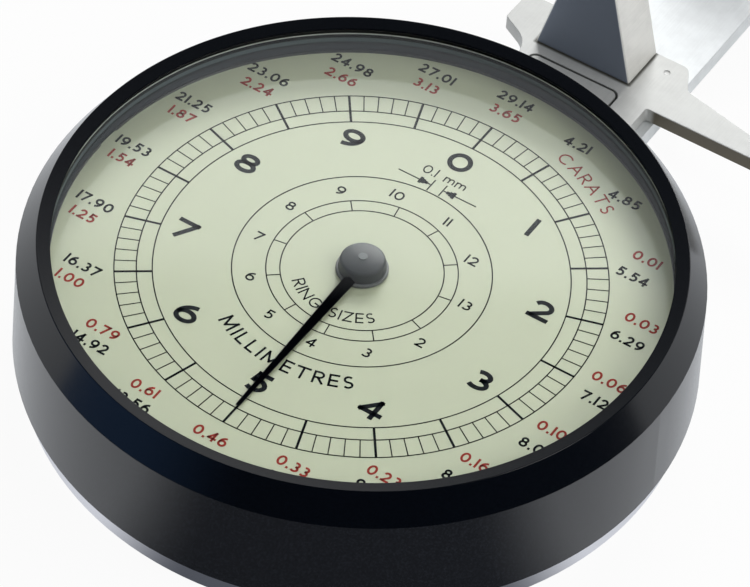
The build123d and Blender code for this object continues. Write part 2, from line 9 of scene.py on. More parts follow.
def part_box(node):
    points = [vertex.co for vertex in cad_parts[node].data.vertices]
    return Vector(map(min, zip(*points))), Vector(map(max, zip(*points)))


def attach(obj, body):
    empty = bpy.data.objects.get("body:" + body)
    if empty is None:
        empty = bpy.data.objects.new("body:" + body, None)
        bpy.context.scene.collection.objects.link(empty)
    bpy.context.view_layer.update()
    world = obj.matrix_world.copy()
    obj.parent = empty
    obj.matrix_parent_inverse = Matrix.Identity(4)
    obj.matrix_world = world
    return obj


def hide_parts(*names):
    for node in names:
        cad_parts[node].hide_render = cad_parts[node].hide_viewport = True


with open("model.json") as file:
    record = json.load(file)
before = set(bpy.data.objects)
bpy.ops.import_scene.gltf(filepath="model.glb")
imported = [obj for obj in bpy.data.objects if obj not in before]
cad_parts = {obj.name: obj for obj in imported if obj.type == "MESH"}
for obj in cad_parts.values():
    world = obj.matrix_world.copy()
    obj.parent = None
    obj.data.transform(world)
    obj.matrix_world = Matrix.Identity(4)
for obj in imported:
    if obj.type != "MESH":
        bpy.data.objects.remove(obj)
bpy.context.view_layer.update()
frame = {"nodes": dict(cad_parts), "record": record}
mm = 0.001
print("frame loaded")


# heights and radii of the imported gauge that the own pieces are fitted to

def low(node):
    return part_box(node)[0][2]


def high(node, axis=2):
    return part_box(node)[1][axis]


dialTop = high("dial_plate")


# shader maths: a socket that adds its own Math nodes when it is used in an expression

class Value:
    def __init__(self, finish, socket):
        self.finish = finish
        self.socket = socket

    def __add__(self, other):
        return self.finish.maths("ADD", self, other)

    def __radd__(self, other):
        return self.finish.maths("ADD", other, self)

    def __sub__(self, other):
        return self.finish.maths("SUBTRACT", self, other)

    def __rsub__(self, other):
        return self.finish.maths("SUBTRACT", other, self)

    def __mul__(self, other):
        return self.finish.maths("MULTIPLY", self, other)

    def __rmul__(self, other):
        return self.finish.maths("MULTIPLY", other, self)

    def __truediv__(self, other):
        return self.finish.maths("DIVIDE", self, other)


class Finish:
    # one Principled material; constants go on its sockets, and node() adds whatever varies
    def __init__(self, name, tree=None, **constants):
        if tree is None:
            self.material = bpy.data.materials.new(name)
            self.material.use_nodes = True
            tree = self.material.node_tree
            self.shader = tree.nodes["Principled BSDF"]
            for socket, value in constants.items():
                self.shader.inputs[socket.replace("_", " ")].default_value = value
        self.tree = tree

    def node(self, kind, settings=None, inputs=None, output=0):
        made = self.tree.nodes.new(kind)
        for key, value in (settings or {}).items():
            if key == "stops":
                self.setStops(made.color_ramp, value)
            else:
                setattr(made, key, value)
        for key, value in (inputs or {}).items():
            if isinstance(value, Value):
                self.tree.links.new(value.socket, made.inputs[key])
            else:
                made.inputs[key].default_value = value
        return Value(self, made.outputs[output])

    def setStops(self, ramp, stops):
        while len(ramp.elements) < len(stops):
            ramp.elements.new(1.0)
        for element, (place, colour) in zip(ramp.elements, stops):
            element.position = place
            element.color = colour

    def coords(self):
        return self.node("ShaderNodeTexCoord", output="Object")

    def place(self, scale=(1.0, 1.0, 1.0)):
        return self.node("ShaderNodeMapping", {}, {"Vector": self.coords(), "Scale": scale})

    def part(self, axis):
        # one coordinate of the shaded point, in metres
        return self.node("ShaderNodeSeparateXYZ", {}, {0: self.coords()}, axis)

    def radius(self):
        # distance from the dial's axis, in metres
        flat = self.node("ShaderNodeVectorMath", {"operation": "MULTIPLY"},
                         {0: self.coords(), 1: (1, 1, 0)})
        return self.node("ShaderNodeVectorMath", {"operation": "LENGTH"}, {0: flat}, "Value")

    def noise(self, vector, scale, detail=2.0, rough=0.5):
        return self.node("ShaderNodeTexNoise", {}, {"Vector": vector, "Scale": scale, "Detail": detail,
                                                    "Roughness": rough}, "Fac")

    def ramp(self, value, start, end):
        return self.node("ShaderNodeMapRange", {"interpolation_type": "SMOOTHSTEP"},
                         {"Value": value, "From Min": start, "From Max": end}, "Result")

    def maths(self, operation, a, b=0.0):
        return self.node("ShaderNodeMath", {"operation": operation}, {0: a, 1: b})

    def least(self, a, b):
        return self.maths("MINIMUM", a, b)

    def dot(self, vector, direction):
        return self.node("ShaderNodeVectorMath", {"operation": "DOT_PRODUCT"},
                         {0: vector, 1: direction}, "Value")

    def outlineGap(self, centre, half, corner=0.0):
        # mm from an upright box's rounded outline, seen from above. With d = |place - centre| - half +
        # corner it is |length(max(d, 0)) + min(max(dx, dy), 0) - corner|
        aside, along = [self.maths("ABSOLUTE", self.part(axis) / mm - middle) - (reach - corner)
                        for axis, middle, reach in zip("XY", centre, half)]
        beyond = self.node("ShaderNodeCombineXYZ", {}, {0: self.maths("MAXIMUM", aside, 0.0),
                                                        1: self.maths("MAXIMUM", along, 0.0)})
        outside = self.node("ShaderNodeVectorMath", {"operation": "LENGTH"}, {0: beyond}, "Value")
        inside = self.least(self.maths("MAXIMUM", aside, along), 0.0)
        return self.maths("ABSOLUTE", outside + inside - corner)

    def mixColours(self, a, b, share):
        return self.node("ShaderNodeMix", {"data_type": "RGBA"}, {"Factor": share, 6: a, 7: b}, 2)

    def drive(self, **sockets):
        for socket, value in sockets.items():
            self.tree.links.new(value.socket, self.shader.inputs[socket.replace("_", " ")])
        return self

    def bump(self, height, depth, strength=1.0):
        bumped = self.node("ShaderNodeBump", {},
                           {"Height": height, "Distance": depth, "Strength": strength})
        return self.drive(Normal=bumped)


# solids of revolution with rounded edges, and grids of points, with exact normals

def rounded(corners, steps=5):
    # a closed outline walked counterclockwise, each corner (u, v, radius) turned into an arc. The arc
    # starts radius * tan(turn / 2) before its corner. The normal, to the right of the walk, turns with it
    points, normals = [], []
    places = np.array([corner[:2] for corner in corners], float)
    for index, (u, v, radius) in enumerate(corners):
        here = places[index]
        came = here - places[index - 1]
        goes = places[(index + 1) % len(corners)] - here
        came /= np.linalg.norm(came)
        goes /= np.linalg.norm(goes)
        turn = math.atan2(came[0] * goes[1] - came[1] * goes[0], came @ goes)
        heading = math.atan2(came[1], came[0]) + np.linspace(0, turn, steps + 1)
        normal = np.stack([np.sin(heading), -np.cos(heading)], 1)
        side = math.copysign(radius, turn)
        centre = here - came * radius * math.tan(abs(turn) / 2) - side * normal[0]
        points.append(centre + side * normal)
        normals.append(normal)
    return np.vstack(points), np.vstack(normals)


class Shape:
    # gathers grids of points with their normals, and makes one smooth mesh of them
    def __init__(self):
        self.points, self.normals, self.faces, self.count = [], [], [], 0

    def grid(self, points, normals, closedRows=True, capEnds=False, closedColumns=False):
        # points[row, column] joined by quads; rows close on themselves for a ring or an outline
        rows, columns = points.shape[:2]
        row = np.arange(rows if closedColumns else rows - 1)[:, None]
        column = np.arange(columns if closedRows else columns - 1)[None]
        above, right = (row + 1) % rows, (column + 1) % columns
        quads = np.stack(np.broadcast_arrays(row * columns + column, row * columns + right,
                                             above * columns + right, above * columns + column), -1)
        self.faces += (quads.reshape(-1, 4) + self.count).tolist()
        if capEnds:
            self.faces.append((np.arange(columns)[::-1] + self.count).tolist())
            self.faces.append((np.arange(columns) + self.count + (rows - 1) * columns).tolist())
        self.points.append(points.reshape(-1, 3))
        self.normals.append(normals.reshape(-1, 3))
        self.count += rows * columns

    def turned(self, rows, segments):
        # rows of (radius, height) turned about the dial's axis: x = r cos a, y = r sin a, z = h
        rows = np.array(rows, float)
        angle = np.linspace(0, 2 * math.pi, segments, endpoint=False)
        spin = np.stack([np.cos(angle), np.sin(angle)], 1)[None]
        spread = np.zeros((len(rows), segments, 3))
        spread[..., :2] = spin * rows[:, :1, None]
        spread[..., 2] = rows[:, 1:]
        return spread

    def lathe(self, corners, segments):
        # a closed section of (radius, height, rounding)
        section, normal = rounded(corners)
        self.grid(self.turned(section, segments), self.turned(normal, segments), closedColumns=True)

    def dome(self, section, normal, segments):
        # an open section from the bottom up, closed flat at both ends
        self.grid(self.turned(section, segments), self.turned(normal, segments), capEnds=True)

    def finish(self, name, material, slotName, body="case"):
        mesh = bpy.data.meshes.new(name)
        mesh.from_pydata((np.vstack(self.points) * mm).tolist(), [], self.faces)
        mesh.polygons.foreach_set("use_smooth", np.ones(len(self.faces), bool))
        mesh.normals_split_custom_set_from_vertices(np.vstack(self.normals).tolist())
        mesh.materials.append(material)
        piece = bpy.data.objects.new(name, mesh)
        bpy.context.scene.collection.objects.link(piece)
        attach(piece, body)
        return piece


def blackSatin():
    # fine-grained black coat: lighter grains in a blue-black, with a low grain in the surface. The glass's
    # seat, a ring at the top within seatRadius, is a paler grey: a painted highlight line
    look = dict(deep=(0.0045, 0.0055, 0.0085, 1), grain=(0.013, 0.0155, 0.022, 1), grainScale=5200.0,
                rough=0.22, roughSpan=0.14, depth=3e-6, seat=low("crystal") / mm - 0.04, seatRadius=27.5,
                wearAndHighlight=(0.05, 0.056, 0.052, 1))
    finish = Finish("blackSatin", Roughness=look["rough"])
    grain = finish.noise(finish.place(), look["grainScale"], 1.0)
    speckle = finish.ramp(grain, 0.45, 0.72)
    black = finish.mixColours(look["deep"], look["grain"], speckle)
    # painted highlight: the glass's seat is mixed to a paler grey, standing in for a bright line
    within = 1.0 - finish.ramp(finish.radius() / mm, look["seatRadius"], look["seatRadius"] + 0.1)
    seat = finish.ramp(finish.part("Z") / mm, look["seat"], look["seat"] + 0.02) * within
    finish.drive(Base_Color=finish.mixColours(black, look["wearAndHighlight"], seat),
                 Roughness=look["rough"] + (grain - 0.5) * look["roughSpan"])
    return finish.bump(grain, look["depth"], 0.6).material


def bezelBlack():
    look = dict(deep=(0.0006, 0.0012, 0.0024, 1), grain=(0.0020, 0.0036, 0.0070, 1), grainScale=4600.0,
                rough=0.17, depth=2e-6)
    finish = Finish("bezelBlack", Roughness=look["rough"], IOR=1.45)
    grain = finish.noise(finish.place(), look["grainScale"], 1.0)
    finish.drive(Base_Color=finish.mixColours(look["deep"], look["grain"], grain),
                 Roughness=look["rough"] + (grain - 0.5) * 0.08)
    return finish.bump(grain, look["depth"], 0.5).material


def lipBlack():
    look = dict(colour=(0.0030, 0.0040, 0.0060, 1), pale=(0.0060, 0.0075, 0.0105, 1), grainScale=4200.0)
    finish = Finish("lipBlack", Roughness=0.36, IOR=1.17, Specular_IOR_Level=0.2)
    grain = finish.noise(finish.place(), look["grainScale"], 1.0)
    return finish.drive(Base_Color=finish.mixColours(look["colour"], look["pale"], grain)).material


def wallCoat():
    # painted reflection and shade in bands by height, as shares of the wall above the dial: a grey wall, a
    # pale band that is a painted reflection and a bright edge that is a painted highlight, with darker
    # bands between them and painted shade at the foot
    look = dict(reach=2.3, foot=(0.008, 0.011, 0.013, 1), wall=(0.026, 0.034, 0.040, 1),
                paleReflection=(0.10, 0.125, 0.135, 1), edge=(0.50, 0.52, 0.50, 1))
    finish = Finish("wallCoat", Roughness=0.40, IOR=1.2)
    height = finish.part("Z") / mm - dialTop / mm
    # painted light: the pale band is a painted reflection, the bright edge a painted highlight, the dark
    # foot painted shade
    stops = [(0.0, look["foot"]), (0.30, look["wall"]), (0.52, look["foot"]), (0.60, look["paleReflection"]),
             (0.74, look["paleReflection"]), (0.80, look["foot"]), (0.945, look["foot"]), (0.96, look["edge"])]
    paintedBands = finish.node("ShaderNodeValToRGB", {"stops": stops}, {0: height / look["reach"]})
    return finish.drive(Base_Color=paintedBands).material


def darker(colour, share):
    return tuple(channel * share for channel in colour[:3]) + (1,)


def turnedMetal(name, colour, rough):
    # turning lines: noise read along the distance from the dial's axis, and along the height
    look = dict(ringScale=5200.0, span=0.12, depth=1.2e-6, dark=0.82)
    finish = Finish(name, Metallic=1.0, Roughness=rough)
    rings = finish.node("ShaderNodeCombineXYZ", {}, {"X": finish.radius(), "Y": finish.part("Z")})
    lines = finish.noise(rings, look["ringScale"], 3.0, 0.7)
    finish.drive(Base_Color=finish.mixColours(darker(colour, look["dark"]), colour, lines),
                 Roughness=rough + (lines - 0.5) * look["span"])
    return finish.bump(lines, look["depth"], 0.5).material


def groundSteel(name, colour=(0.66, 0.67, 0.65, 1), metal=0.2, edge=None, front=None, darkRims=()):
    # ground and worn steel: faint lines along the slide under a cloudy patina. edge and front paint shade
    # into the
    # colour, each within its own place, in mm: a painted reflection of shade on the ring jaw's side and
    # painted shade on the anvil's face. The rims darken the colour along given outlines
    look = dict(fine=7000.0, stretch=0.03, cloud=420.0, dark=0.87, rough=0.48, span=0.14, depth=5e-7)
    finish = Finish(name, Metallic=metal, Roughness=look["rough"])
    lines = finish.noise(finish.place((1, look["stretch"], 1)), look["fine"], 3.0, 0.65)
    cloud = finish.noise(finish.place(), look["cloud"], 4.0, 0.6)
    wearAndHighlight = lines * 0.35 + cloud * 0.65
    base = finish.mixColours(darker(colour, look["dark"]), colour, finish.ramp(wearAndHighlight, 0.30, 0.66))
    # painted reflection of shade: the ring jaw's side, in front of its edge and below the top, darkened to
    # olive
    if edge:
        before = 1.0 - finish.ramp(finish.part("Y") / mm, edge["y"], edge["y"] + 0.04)
        below = 1.0 - finish.ramp(finish.part("Z") / mm, edge["top"] - 0.10, edge["top"] - 0.05)
        beyond = finish.ramp(finish.part("X") / mm, edge["x"], edge["x"] + 0.6)
        base = finish.mixColours(base, edge["colour"], before * below * beyond)
    # painted shade: the anvil's front face, in front of its front edge, takes a dark blue-grey
    if front:
        behind = finish.ramp(finish.part("Y") / mm, front["y"] + 0.02, front["y"] + 0.06)
        base = finish.mixColours(front["colour"], base, behind)
    # darker rims along outlines: painted contact shadow round the anvil's foot, a darker rim along the
    # tongue's slot
    for darkRim in darkRims:
        away = finish.ramp(finish.outlineGap(**darkRim["box"]), 0.0, darkRim["reach"])
        base = finish.mixColours(darkRim["colour"], base, away)
    finish.drive(Base_Color=base, Roughness=look["rough"] + (wearAndHighlight - 0.5) * look["span"])
    return finish.bump(lines, look["depth"], 0.45).material


def dialCream():
    look = dict(colour=(0.560, 0.595, 0.438, 1), warm=(0.538, 0.570, 0.414, 1), rough=0.10, depth=4e-7)
    finish = Finish("dialCream", Roughness=look["rough"], IOR=1.85, Coat_Weight=0.85, Coat_Roughness=0.3)
    cloud = finish.noise(finish.place(), 120.0, 3.0)
    tooth = finish.noise(finish.place(), 9000.0, 1.0)
    finish.drive(Base_Color=finish.mixColours(look["colour"], look["warm"], cloud))
    return finish.bump(tooth, look["depth"], 0.3).material


def ink(name, colour):
    finish = Finish(name, Roughness=0.12)
    patch = finish.ramp(finish.noise(finish.place(), 5000.0, 1.0), 0.55, 0.8)
    thin = tuple(channel * 1.5 + 0.004 for channel in colour[:3]) + (1,)
    return finish.drive(Base_Color=finish.mixColours(colour, thin, patch)).material


def clearGlass():
    # the specular tint holds the glass's own reflection down; the sheen on the print is the dial's own
    finish = Finish("clearGlass", Base_Color=(0.97, 0.99, 0.97, 1), Roughness=0.0, IOR=1.5,
                    Transmission_Weight=1.0, Specular_Tint=(0.3, 0.3, 0.32, 1))
    return finish.material


def paint(name, colour, rough):
    look = dict(grainScale=4000.0, depth=2e-6, dark=0.7, span=0.12)
    finish = Finish(name, Roughness=rough)
    grain = finish.noise(finish.place(), look["grainScale"], 2.0)
    finish.drive(Base_Color=finish.mixColours(darker(colour, look["dark"]), colour, grain),
                 Roughness=rough + (grain - 0.5) * look["span"])
    return finish.bump(grain, look["depth"], 0.5).material


# painted contact shadow round the fixed anvil, where it meets the plate's top, and a darker rim along the
# slot round the tongue's end, in mm
anvilContactShadow = dict(box=dict(centre=(-0.23, 40.7), half=(5.0, 2.6)), reach=0.34, colour=(0.10, 0.10, 0.085, 1))
tongueSlotDarkening = dict(box=dict(centre=(0.0, 26.68), half=(4.65, 10.0), corner=0.8), reach=0.22,
                  colour=(0.05, 0.055, 0.05, 1))
materials = {
    "black_satin": blackSatin(),
    "bezel": bezelBlack(),
    "lip": lipBlack(),
    "wall": wallCoat(),
    "silver_cover": turnedMetal("silverCover", (0.74, 0.74, 0.78, 1), 0.36),
    "steel_screw": turnedMetal("screwSteel", (0.62, 0.62, 0.62, 1), 0.28),
    "glass": clearGlass(),
    "gasket_rubber": paint("gasketRubber", (0.02, 0.02, 0.02, 1), 0.7),
    "dial_cream": dialCream(),
    "ring_dark": paint("ringDark", (0.03, 0.035, 0.04, 1), 0.35),
    "movement_brass": turnedMetal("movementBrass", (0.78, 0.62, 0.33, 1), 0.3),
    "bush_bronze": turnedMetal("bushBronze", (0.66, 0.45, 0.25, 1), 0.3),
    "spring_bronze": turnedMetal("springBronze", (0.70, 0.52, 0.30, 1), 0.25),
    "ground_steel": groundSteel("groundSteel"),
    # the ring jaw's side with a painted reflection of shade; painted contact shadow round the anvil, a
    # darker rim along the slot
    "jaw_steel": groundSteel("jawSteel", edge=dict(y=36.5, top=6.0, x=8.0, colour=(0.15, 0.13, 0.09, 1)),
                             darkRims=[anvilContactShadow, tongueSlotDarkening]),
    "tongue_steel": groundSteel("tongueSteel", darkRims=[tongueSlotDarkening]),
    "slide_steel": groundSteel("slideSteel", (0.86, 0.89, 0.90, 1), 0.2),
    # the anvil, with painted shade on its front face
    "anvil_steel": groundSteel("anvilSteel", (0.96, 0.95, 0.90, 1), 0.35,
                               front=dict(y=38.1, colour=(0.25, 0.29, 0.36, 1))),
    "pointer_dark": paint("pointerDark", (0.045, 0.050, 0.056, 1), 0.5),
    "collar_grey": paint("collarGrey", (0.16, 0.165, 0.17, 1), 0.4),
    "arbor_end": paint("arborEnd", (0.15, 0.16, 0.17, 1), 0.5),
}
# nodes whose look isn't their slot's: the bezel is glossier than the case, and the arbor's end is dull
ownLooks = dict(bezel="bezel", centre_arbor="arbor_end")
for part in frame["record"]["subparts"]:
    node = frame["nodes"][part["node"]]
    slot = ownLooks.get(part["node"], part["material_slot"])
    for held in node.material_slots:
        held.material = materials[slot]
print("materials made")


# the scene: camera at the photograph's angle, world, lamps and floor

view = dict(target=(2.40, -1.68, 11.35), azimuth=29.63, elevation=46.89, roll=4.29, distance=377.36,
            lens=212.03, sensor=36.0)


def addCamera():
    azimuth, elevation = math.radians(view["azimuth"]), math.radians(view["elevation"])
    back = Vector((math.cos(elevation) * math.sin(azimuth), -math.cos(elevation) * math.cos(azimuth),
                   math.sin(elevation)))
    place = Vector(view["target"]) * mm + back * view["distance"] * mm
    level = Vector((0, 0, 1)).cross(back).normalized()
    rise = back.cross(level)
    roll = math.radians(view["roll"])
    right = level * math.cos(roll) + rise * math.sin(roll)
    up = back.cross(right)
    data = bpy.data.cameras.new("camera")
    data.lens, data.sensor_width = view["lens"], view["sensor"]
    data.clip_start = 0.01
    camera = bpy.data.objects.new("camera", data)
    camera.matrix_world = Matrix.Translation(place) @ Matrix((right, up, back)).transposed().to_4x4()
    bpy.context.scene.collection.objects.link(camera)
    bpy.context.scene.camera = camera


def addWorld():
    # what mirrors see: a white backdrop behind, and above its soft slanting edge a dark room with a little
    # blue light to the left in front. The edge crosses the dial as in the photograph
    look = dict(edgeNormal=(0.360, -0.635, 0.683), start=-0.011, end=0.003, white=(0.95, 0.97, 1.0, 1),
                dark=(0.018, 0.024, 0.040, 1), blue=(0.12, 0.24, 0.50, 1), ambient=0.40)
    world = bpy.data.worlds.new("studio")
    bpy.context.scene.world = world
    world.use_nodes = True
    sky = Finish("studio", world.node_tree)
    coords = sky.node("ShaderNodeTexCoord", output="Generated")
    across = sky.dot(coords, look["edgeNormal"])
    leftward = sky.ramp(sky.dot(coords, (-1, 0, 0)), 0.0, 0.6)
    forward = sky.ramp(sky.dot(coords, (0, -1, 0)), -0.3, 0.4)
    room = sky.mixColours(look["dark"], look["blue"], leftward * forward)
    mirrored = sky.mixColours(look["white"], room, sky.ramp(across, look["start"], look["end"]))
    path = "ShaderNodeLightPath"
    straight = sky.node(path, output="Is Camera Ray") + sky.node(path, output="Is Transmission Ray")
    glossy = sky.node(path, output="Is Glossy Ray")
    first = 1.0 - sky.least(sky.node(path, output="Diffuse Depth"), 1.0)
    ambient = (look["ambient"],) * 3 + (1,)
    plain = sky.mixColours(ambient, (1, 1, 1, 1), sky.least(straight, 1.0) * first)
    colour = sky.mixColours(plain, mirrored, glossy * first)
    background = world.node_tree.nodes["Background"]
    world.node_tree.links.new(colour.socket, background.inputs["Color"])


def addLamp(name, place, size, power):
    data = bpy.data.lights.new(name, "AREA")
    data.shape, data.size, data.size_y = "RECTANGLE", size[0], size[1]
    data.energy = power
    lamp = bpy.data.objects.new(name, data)
    lamp.location = place
    lamp.rotation_euler = (Vector(place) - Vector((0, 0.01, 0))).to_track_quat("Z", "Y").to_euler()
    bpy.context.scene.collection.objects.link(lamp)


def addFloor():
    # mirrors see the floor white, but for the sector in front that the camera's side leaves dark
    look = dict(half=1.5, colour=(0.90, 0.90, 0.90, 1), seen=0.94, front=(0.494, -0.869, 0.0), open=0.68,
                closed=0.90, whiteSide=(0.93, 0.96, 1.0, 1), darkSide=(0.10, 0.11, 0.13, 1))
    mesh = bpy.data.meshes.new("floor")
    half = look["half"]
    mesh.from_pydata([(-half, -half, 0), (half, -half, 0), (half, half, 0), (-half, half, 0)], [],
                     [(0, 1, 2, 3)])
    floor = bpy.data.objects.new("floor", mesh)
    bpy.context.scene.collection.objects.link(floor)
    finish = Finish("floorPale", Roughness=0.8, Base_Color=look["colour"], Specular_IOR_Level=0.2)
    outward = finish.node("ShaderNodeVectorMath", {"operation": "NORMALIZE"}, {0: finish.coords()})
    toFront = finish.dot(outward, look["front"])
    path = "ShaderNodeLightPath"
    glossy = finish.node(path, output="Is Glossy Ray")
    mirrored = finish.mixColours(look["whiteSide"], look["darkSide"],
                                 finish.ramp(toFront, look["open"], look["closed"]))
    shown = finish.mixColours((1, 1, 1, 1), mirrored, glossy)
    glow = finish.node("ShaderNodeEmission", {}, {"Color": shown})
    straight = finish.least(finish.node(path, output="Is Camera Ray")
                            + finish.node(path, output="Is Transmission Ray"), 1.0)
    share = straight * look["seen"] + glossy * look["seen"]
    plain = Value(finish, finish.shader.outputs[0])
    mixed = finish.node("ShaderNodeMixShader", {}, {0: share, 1: plain, 2: glow})
    finish.tree.links.new(mixed.socket, finish.tree.nodes["Material Output"].inputs["Surface"])
    mesh.materials.append(finish.material)


addCamera()
addWorld()
addLamp("backLamp", (-0.34, 1.10, 0.62), (0.70, 0.34), 10.0)
addLamp("sideLamp", (0.85, 0.10, 0.75), (0.5, 0.5), 2.8)
addFloor()
bpy.context.scene.view_settings.view_transform = "Standard"
print("stage set")


# the dial's print: strokes of ink, each a flat bar carried along its line

unit = 21.27                # mm from the dial's axis to the outer graduation circle
inkHeight = 0.015           # mm


class Print:
    # gathers strokes as closed bars of ink and makes one mesh of them
    def __init__(self, name, slotName, material):
        self.name, self.slotName, self.material = name, slotName, material
        self.points, self.faces, self.count = [], [], 0

    def stroke(self, line, width, closed=False):
        # each station's four corners: the line plus and minus half the width along its normal, low and
        # high; at a bend the normal is lengthened so that both sides stay parallel
        line = np.asarray(line, float)
        step = np.roll(line, -1, 0) - line
        step /= np.maximum(np.linalg.norm(step, axis=1, keepdims=True), 1e-9)
        ahead, behind = step.copy(), np.roll(step, 1, 0)
        if not closed:
            ahead[-1], behind[0] = behind[-1], ahead[0]
        tangent = ahead + behind
        tangent /= np.maximum(np.linalg.norm(tangent, axis=1, keepdims=True), 1e-9)
        normal = np.stack([-tangent[:, 1], tangent[:, 0]], 1)
        bend = np.clip(np.sum(normal * np.stack([-ahead[:, 1], ahead[:, 0]], 1), 1), 0.5, 1)
        side = normal * (width / 2 / bend)[:, None]
        count = len(line)
        ring = np.zeros((count, 4, 3))
        ring[:, 0, :2] = ring[:, 3, :2] = line + side
        ring[:, 1, :2] = ring[:, 2, :2] = line - side
        ring[:, 2:, 2] = inkHeight
        first = np.arange(count if closed else count - 1)
        after = (first + 1) % count
        corner = np.arange(4)
        a = first[:, None] * 4 + corner
        b = first[:, None] * 4 + (corner + 1) % 4
        c = after[:, None] * 4 + (corner + 1) % 4
        d = after[:, None] * 4 + corner
        quads = np.stack([a, b, c, d], -1).reshape(-1, 4)
        if not closed:
            end = (count - 1) * 4
            quads = np.vstack([quads, [[3, 2, 1, 0]], [[end, end + 1, end + 2, end + 3]]])
        self.points.append(ring.reshape(-1, 3))
        self.faces.append(quads + self.count)
        self.count += count * 4

    def finish(self):
        points = np.vstack(self.points)
        points[:, 2] += dialTop / mm
        mesh = bpy.data.meshes.new(self.name)
        mesh.from_pydata((points * mm).tolist(), [], np.vstack(self.faces).tolist())
        mesh.materials.append(self.material)
        piece = bpy.data.objects.new(self.name, mesh)
        bpy.context.scene.collection.objects.link(piece)
        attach(piece, "case")
        return piece


def arc(x, y, rx, ry, start, end, steps=14):
    # points of an ellipse's arc, from start to end in degrees counterclockwise
    angle = np.radians(np.linspace(start, end, steps))
    return np.stack([x + rx * np.cos(angle), y + ry * np.sin(angle)], 1)


def joined(*lines):
    return np.vstack([np.asarray(line, float).reshape(-1, 2) for line in lines])


# each sign is a width and its strokes in a box of height 1; a stroke is (points, closed, square ends)
bar, curve, loop = (False, True), (False, False), (True, False)
signs = {
    "0": (0.68, [(arc(0.5, 0.5, 0.5, 0.5, 0, 345, 24), loop)]),
    "1": (0.0, [([(0.5, 0), (0.5, 1)], bar)]),
    "2": (0.60, [(joined(arc(0.46, 0.70, 0.46, 0.30, 165, -35, 12), [(0.03, 0.0)]), curve),
                 ([(0, 0), (1, 0)], bar)]),
    "3": (0.56, [(arc(0.40, 0.755, 0.48, 0.245, 130, -90, 12), curve),
                 (arc(0.40, 0.265, 0.56, 0.265, 90, -140, 14), curve)]),
    "4": (0.66, [([(0.70, 1), (0.0, 0.27)], bar), ([(0.0, 0.27), (1.0, 0.27)], bar),
                 ([(0.70, 1), (0.70, 0)], bar)]),
    "5": (0.56, [([(0.22, 1), (0.90, 1)], bar), ([(0.22, 1), (0.12, 0.56)], bar),
                 (arc(0.38, 0.32, 0.58, 0.32, 120, -130, 14), curve)]),
    "6": (0.62, [(arc(0.5, 0.31, 0.5, 0.31, 0, 345, 20), loop),
                 (joined(arc(0.95, 0.33, 0.95, 0.67, 178, 96, 9)), curve)]),
    "7": (0.60, [([(0, 1), (1, 1)], bar), ([(1, 1), (0.32, 0)], bar)]),
    "8": (0.60, [(arc(0.5, 0.765, 0.42, 0.235, 0, 345, 18), loop),
                 (arc(0.5, 0.27, 0.5, 0.27, 0, 345, 18), loop)]),
    "9": (0.62, [(arc(0.5, 0.69, 0.5, 0.31, 0, 345, 20), loop),
                 (joined(arc(0.05, 0.67, 0.95, 0.67, -2, -84, 9)), curve)]),
    ".": (0.0, [([(0.5, 0.0), (0.5, 0.02)], bar)]),
    "A": (0.82, [([(0.5, 1), (0, 0)], bar), ([(0.5, 1), (1, 0)], bar),
                 ([(0.2, 0.36), (0.8, 0.36)], curve)]),
    "C": (0.86, [(arc(0.55, 0.5, 0.55, 0.5, 45, 315, 20), curve)]),
    "E": (0.50, [([(0, 0), (0, 1)], bar), ([(0, 1), (1, 1)], bar), ([(0, 0.5), (0.9, 0.5)], bar),
                 ([(0, 0), (1, 0)], bar)]),
    "G": (0.86, [(arc(0.52, 0.5, 0.52, 0.5, 45, 325, 20), curve), ([(0.55, 0.44), (0.97, 0.44)], bar),
                 ([(0.97, 0.44), (0.97, 0.16)], curve)]),
    "I": (0.0, [([(0.5, 0), (0.5, 1)], bar)]),
    "L": (0.48, [([(0, 1), (0, 0)], bar), ([(0, 0), (1, 0)], bar)]),
    "M": (0.94, [([(0, 0), (0.08, 1)], bar), ([(0.08, 1), (0.5, 0.15)], bar),
                 ([(0.5, 0.15), (0.92, 1)], bar), ([(0.92, 1), (1, 0)], bar)]),
    "N": (0.76, [([(0, 0), (0, 1)], bar), ([(0, 1), (1, 0)], bar), ([(1, 0), (1, 1)], bar)]),
    "R": (0.58, [([(0, 0), (0, 1)], bar),
                 (joined([(0, 1)], arc(0.5, 0.74, 0.46, 0.26, 90, -90, 12), [(0, 0.48)]), curve),
                 ([(0.42, 0.48), (1, 0)], bar)]),
    "S": (0.50, [(joined(arc(0.5, 0.75, 0.46, 0.25, 40, 250, 12), arc(0.5, 0.25, 0.5, 0.25, 75, -145, 12)),
                  curve)]),
    "T": (0.74, [([(0, 1), (1, 1)], bar), ([(0.5, 0), (0.5, 1)], bar)]),
    "Z": (0.62, [([(0, 1), (1, 1)], bar), ([(1, 1), (0, 0)], bar), ([(0, 0), (1, 0)], bar)]),
    "m": (0.86, [([(0, 0), (0, 0.62)], bar),
                 (joined(arc(0.25, 0.42, 0.25, 0.22, 180, 0, 10), [(0.5, 0)]), curve),
                 (joined(arc(0.75, 0.42, 0.25, 0.22, 180, 0, 10), [(1, 0)]), curve)]),
    " ": (0.35, []),
}


